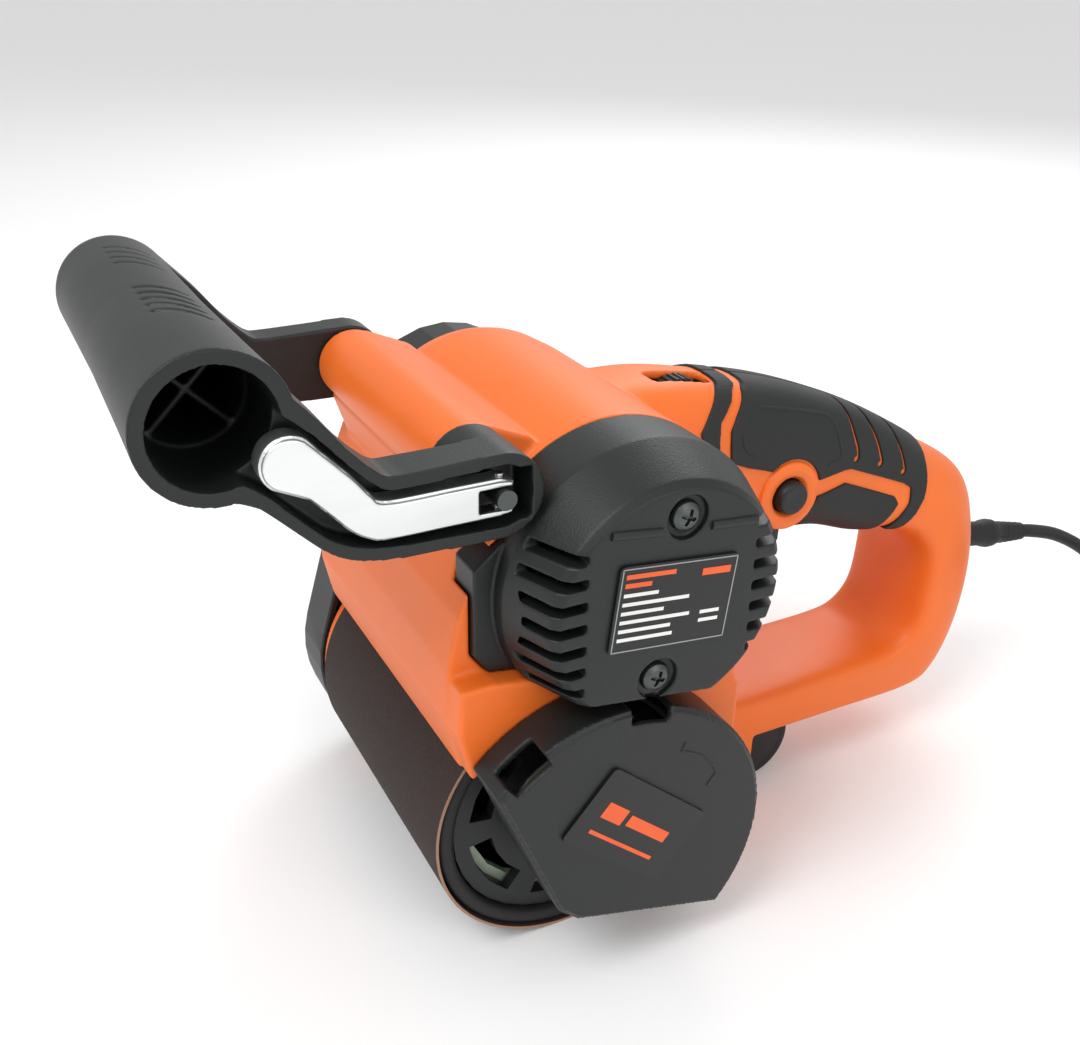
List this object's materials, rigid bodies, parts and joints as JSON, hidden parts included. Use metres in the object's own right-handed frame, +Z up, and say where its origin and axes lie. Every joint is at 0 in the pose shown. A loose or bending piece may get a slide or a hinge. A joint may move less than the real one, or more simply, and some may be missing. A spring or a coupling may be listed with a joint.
{
  "type": "handheld drum sander",
  "caption": "Hand-held drum sander with a transverse motor, a sanding drum with a turnable guard, a clamped bail front handle, a D-handle and a mains cord.",
  "frame": {"origin": "centre of the bottom of the bounding box of the sander without its cord", "axes": "+X from the front handle to the cord, -Y the label side, +Z up"},
  "size_m": [0.491, 0.2192, 0.2068],
  "materials": {
    "orange": "moulded, satin",
    "black": "moulded, fine texture",
    "soft_grip": "soft overmould",
    "steel": "zinc plated",
    "dark_steel": "black oxide",
    "lamination": "laminated steel",
    "abrasive": "aluminium oxide on cloth",
    "rubber": "moulded",
    "nylon": "natural nylon",
    "copper": "enamelled copper",
    "carbon": "graphite",
    "aluminium": "machined",
    "label": "printed foil"
  },
  "bodies": {
    "housing": {"housing_near": "orange", "housing_far": "orange", "grip_near": "soft_grip", "grip_far": "soft_grip", "end_cap": "black", "rating_plate": "label", "cap_screw_1": "dark_steel", "cap_screw_2": "dark_steel", "belt_cover": "black", "belt_cover_screw_1": "dark_steel", "belt_cover_screw_2": "dark_steel", "housing_screw_1": "dark_steel", "housing_screw_2": "dark_steel", "stator_core": "lamination", "field_coil_upper": "copper", "field_coil_lower": "copper", "armature_bearing_near": "steel", "armature_bearing_far": "steel", "gear_shaft_bearing": "steel", "drum_bearing_near": "steel", "drum_bearing_far": "steel", "carbon_brush_front": "carbon", "carbon_brush_rear": "carbon", "brush_holder_front": "aluminium", "brush_holder_rear": "aluminium", "drive_belt": "rubber", "rear_axle": "dark_steel", "switch_body": "black", "speed_controller": "black", "cord_gland": "rubber", "cord": "rubber", "cord_coil": "rubber", "plug": "black"},
    "front_handle": {"front_handle": "black", "clamp_rod": "dark_steel", "cross_pin": "steel", "clamp_nut": "black"},
    "cam_lever": {"cam_lever": "steel"},
    "armature": {"armature_shaft": "dark_steel", "armature_core": "lamination", "commutator": "copper", "cooling_fan": "nylon", "pinion": "steel"},
    "reduction": {"reduction_gear": "nylon", "gear_shaft": "dark_steel", "drive_pulley": "aluminium"},
    "drum": {"drum_pulley": "aluminium", "drum_shaft": "dark_steel", "drum_hub": "nylon", "drum_core": "black", "drum_pad": "rubber", "abrasive_sleeve": "abrasive", "drum_nut": "steel"},
    "side_cover": {"side_cover": "black", "cover_badge": "label"},
    "roller_near": {"rear_roller_near": "rubber"},
    "roller_far": {"rear_roller_far": "rubber"},
    "trigger": {"trigger": "black"},
    "lock_button": {"lock_button": "black"},
    "speed_dial": {"speed_dial": "black"}
  },
  "joints": [
    {"name": "front_handle_swing", "type": "hinge", "parent": "housing", "child": "front_handle", "pos_m": [-0.0721, -0.0014, 0.16], "axis": [0, 1, 0], "range_deg": [-28, 70]},
    {"name": "cam_lever_swing", "type": "hinge", "parent": "front_handle", "child": "cam_lever", "pos_m": [-0.0721, -0.0584, 0.16], "axis": [0, 0, 1], "range_deg": [0, 100]},
    {"name": "drum_spin", "type": "hinge", "parent": "housing", "child": "drum", "pos_m": [-0.0431, -0.0014, 0.045], "axis": [0, 1, 0], "continuous": true},
    {"name": "reduction_spin", "type": "hinge", "parent": "housing", "child": "reduction", "pos_m": [-0.0339, 0.0601, 0.1023], "axis": [0, 1, 0], "continuous": true},
    {"name": "armature_spin", "type": "hinge", "parent": "housing", "child": "armature", "pos_m": [-0.0301, -0.0014, 0.126], "axis": [0, 1, 0], "continuous": true},
    {"name": "side_cover_turn", "type": "hinge", "parent": "housing", "child": "side_cover", "pos_m": [-0.0431, -0.0679, 0.045], "axis": [0, 1, 0], "range_deg": [-40, 5]},
    {"name": "roller_near_spin", "type": "hinge", "parent": "housing", "child": "roller_near", "pos_m": [0.0513, -0.0114, 0.0162], "axis": [0, 1, 0], "continuous": true},
    {"name": "roller_far_spin", "type": "hinge", "parent": "housing", "child": "roller_far", "pos_m": [0.0513, 0.0086, 0.0162], "axis": [0, 1, 0], "continuous": true},
    {"name": "trigger_squeeze", "type": "hinge", "parent": "housing", "child": "trigger", "pos_m": [0.0369, -0.0014, 0.104], "axis": [0, -1, 0], "range_deg": [0, 7], "stiffness_Nm_per_rad": 0.5},
    {"name": "lock_button_press", "type": "slide", "parent": "housing", "child": "lock_button", "axis": [0, 1, 0], "range_m": [0, 0.003], "stiffness_N_per_m": 200},
    {"name": "speed_dial_turn", "type": "hinge", "parent": "housing", "child": "speed_dial", "pos_m": [0.0149, -0.0054, 0.15], "axis": [0, 1, 0], "range_deg": [-135, 135]}
  ],
  "couplings": [
    {"joint": "reduction_spin", "follows": "drum_spin", "ratio": 2.5},
    {"joint": "armature_spin", "follows": "drum_spin", "ratio": -7.5}
  ]
}
